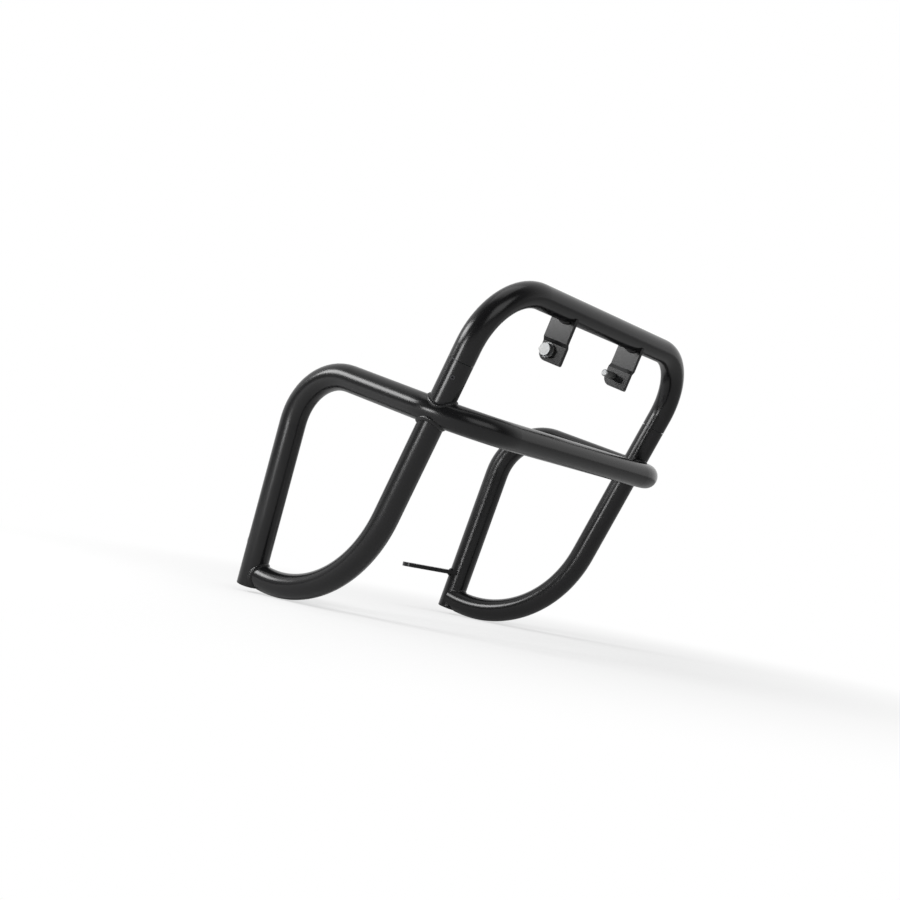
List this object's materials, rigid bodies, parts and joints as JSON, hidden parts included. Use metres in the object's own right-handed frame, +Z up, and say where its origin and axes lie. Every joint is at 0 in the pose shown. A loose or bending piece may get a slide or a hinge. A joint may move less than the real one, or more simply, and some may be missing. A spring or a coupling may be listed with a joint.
{
  "type": "motorcycle engine guard",
  "caption": "Black bent-tube engine guard: a rail round the front and sides, an upper hoop plugged on its legs, lower side loops, bolted lugs and rear tabs.",
  "frame": {"origin": "midway between the two rear bolt holes, on the underside of the rear tabs", "axes": "+X forward on the motorcycle, +Y to the rider's left, +Z up"},
  "size_m": [0.3307, 0.4262, 0.3578],
  "materials": {
    "black_coat": "semi-gloss black powder coat on steel",
    "zinc_steel": "bright zinc plate",
    "dark_steel": "black-oxidised steel",
    "cap_plastic": "black moulded plastic"
  },
  "bodies": {
    "root": {"rail_tube": "black_coat", "upper_hoop": "black_coat", "right_lower_loop": "black_coat", "left_lower_loop": "black_coat", "right_leg_stub": "black_coat", "left_leg_stub": "black_coat", "right_upper_lug": "black_coat", "left_upper_lug": "black_coat", "right_rear_tab": "black_coat", "left_rear_tab": "black_coat", "right_stub_weld": "black_coat", "left_stub_weld": "black_coat", "right_loop_welds": "black_coat", "left_loop_welds": "black_coat", "right_lug_welds": "black_coat", "left_lug_welds": "black_coat", "right_tab_welds": "black_coat", "left_tab_welds": "black_coat", "right_joint_sleeve": "dark_steel", "left_joint_sleeve": "dark_steel", "right_foot_cap": "cap_plastic", "left_foot_cap": "cap_plastic", "joint_screws": "dark_steel", "upper_bolts": "zinc_steel", "upper_washers": "zinc_steel"}
  },
  "joints": []
}
